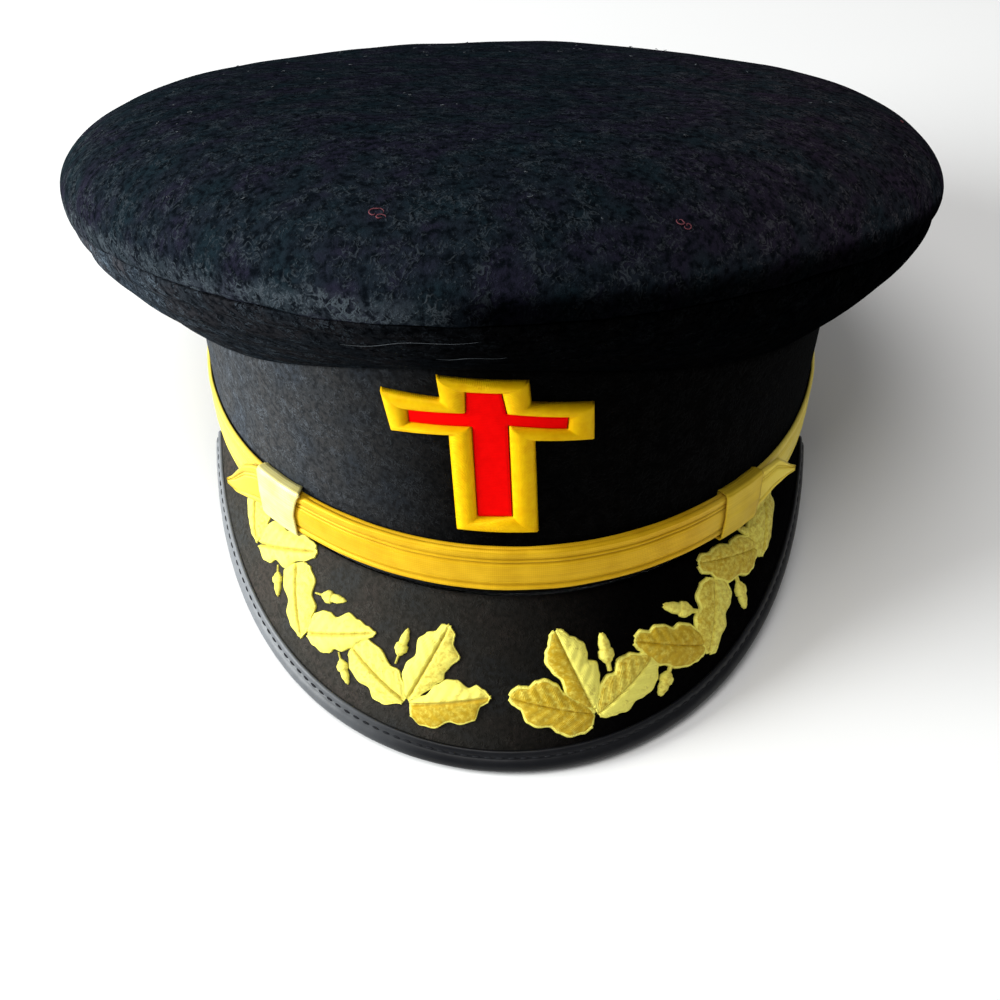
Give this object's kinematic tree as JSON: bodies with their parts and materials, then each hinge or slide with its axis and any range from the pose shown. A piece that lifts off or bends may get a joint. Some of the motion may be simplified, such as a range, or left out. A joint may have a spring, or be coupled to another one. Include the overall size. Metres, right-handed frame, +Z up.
{
  "type": "peaked fatigue cap",
  "caption": "Black wool peaked fatigue cap with a wide oval crown, gold strap, red and gold Latin cross badge and gold oak leaves on a steep leather-bound visor.",
  "frame": {"origin": "middle of the cap's bounding box, on the floor it rests on", "axes": "+Z up; the visor points to -Y; +X is the viewer's right when facing the visor"},
  "size_m": [0.2326, 0.2532, 0.158],
  "materials": {
    "crown_wool": "felted black wool",
    "band_wool": "close-woven black wool",
    "visor_wool": "black wool drawn over a stiff core",
    "leather": "polished black leather",
    "gold_lace": "woven gold lace",
    "gilt": "plain gilt dome",
    "border_thread": "padded gold satin stitch",
    "red_thread": "flat red satin stitch",
    "leaf_thread": "padded gold thread embroidery"
  },
  "bodies": {
    "root": {"crown_top": "crown_wool", "crown_side": "crown_wool", "band": "band_wool", "visor": "visor_wool", "visor_binding": "leather", "strap_long": "gold_lace", "strap_front": "gold_lace", "slide_left": "gold_lace", "slide_right": "gold_lace", "button_left": "gilt", "button_right": "gilt", "badge_border": "border_thread", "badge_cross": "red_thread", "leaf_left_1": "leaf_thread", "leaf_left_2": "leaf_thread", "leaf_left_3": "leaf_thread", "leaf_left_4": "leaf_thread", "leaf_left_5": "leaf_thread", "leaf_left_6": "leaf_thread", "leaf_left_7": "leaf_thread", "leaf_right_1": "leaf_thread", "leaf_right_2": "leaf_thread", "leaf_right_3": "leaf_thread", "leaf_right_4": "leaf_thread", "leaf_right_5": "leaf_thread", "leaf_right_6": "leaf_thread", "leaf_right_7": "leaf_thread", "acorn_left_1": "leaf_thread", "acorn_left_2": "leaf_thread", "acorn_left_3": "leaf_thread", "acorn_left_4": "leaf_thread", "acorn_right_1": "leaf_thread", "acorn_right_2": "leaf_thread", "acorn_right_3": "leaf_thread", "acorn_right_4": "leaf_thread"}
  },
  "joints": []
}
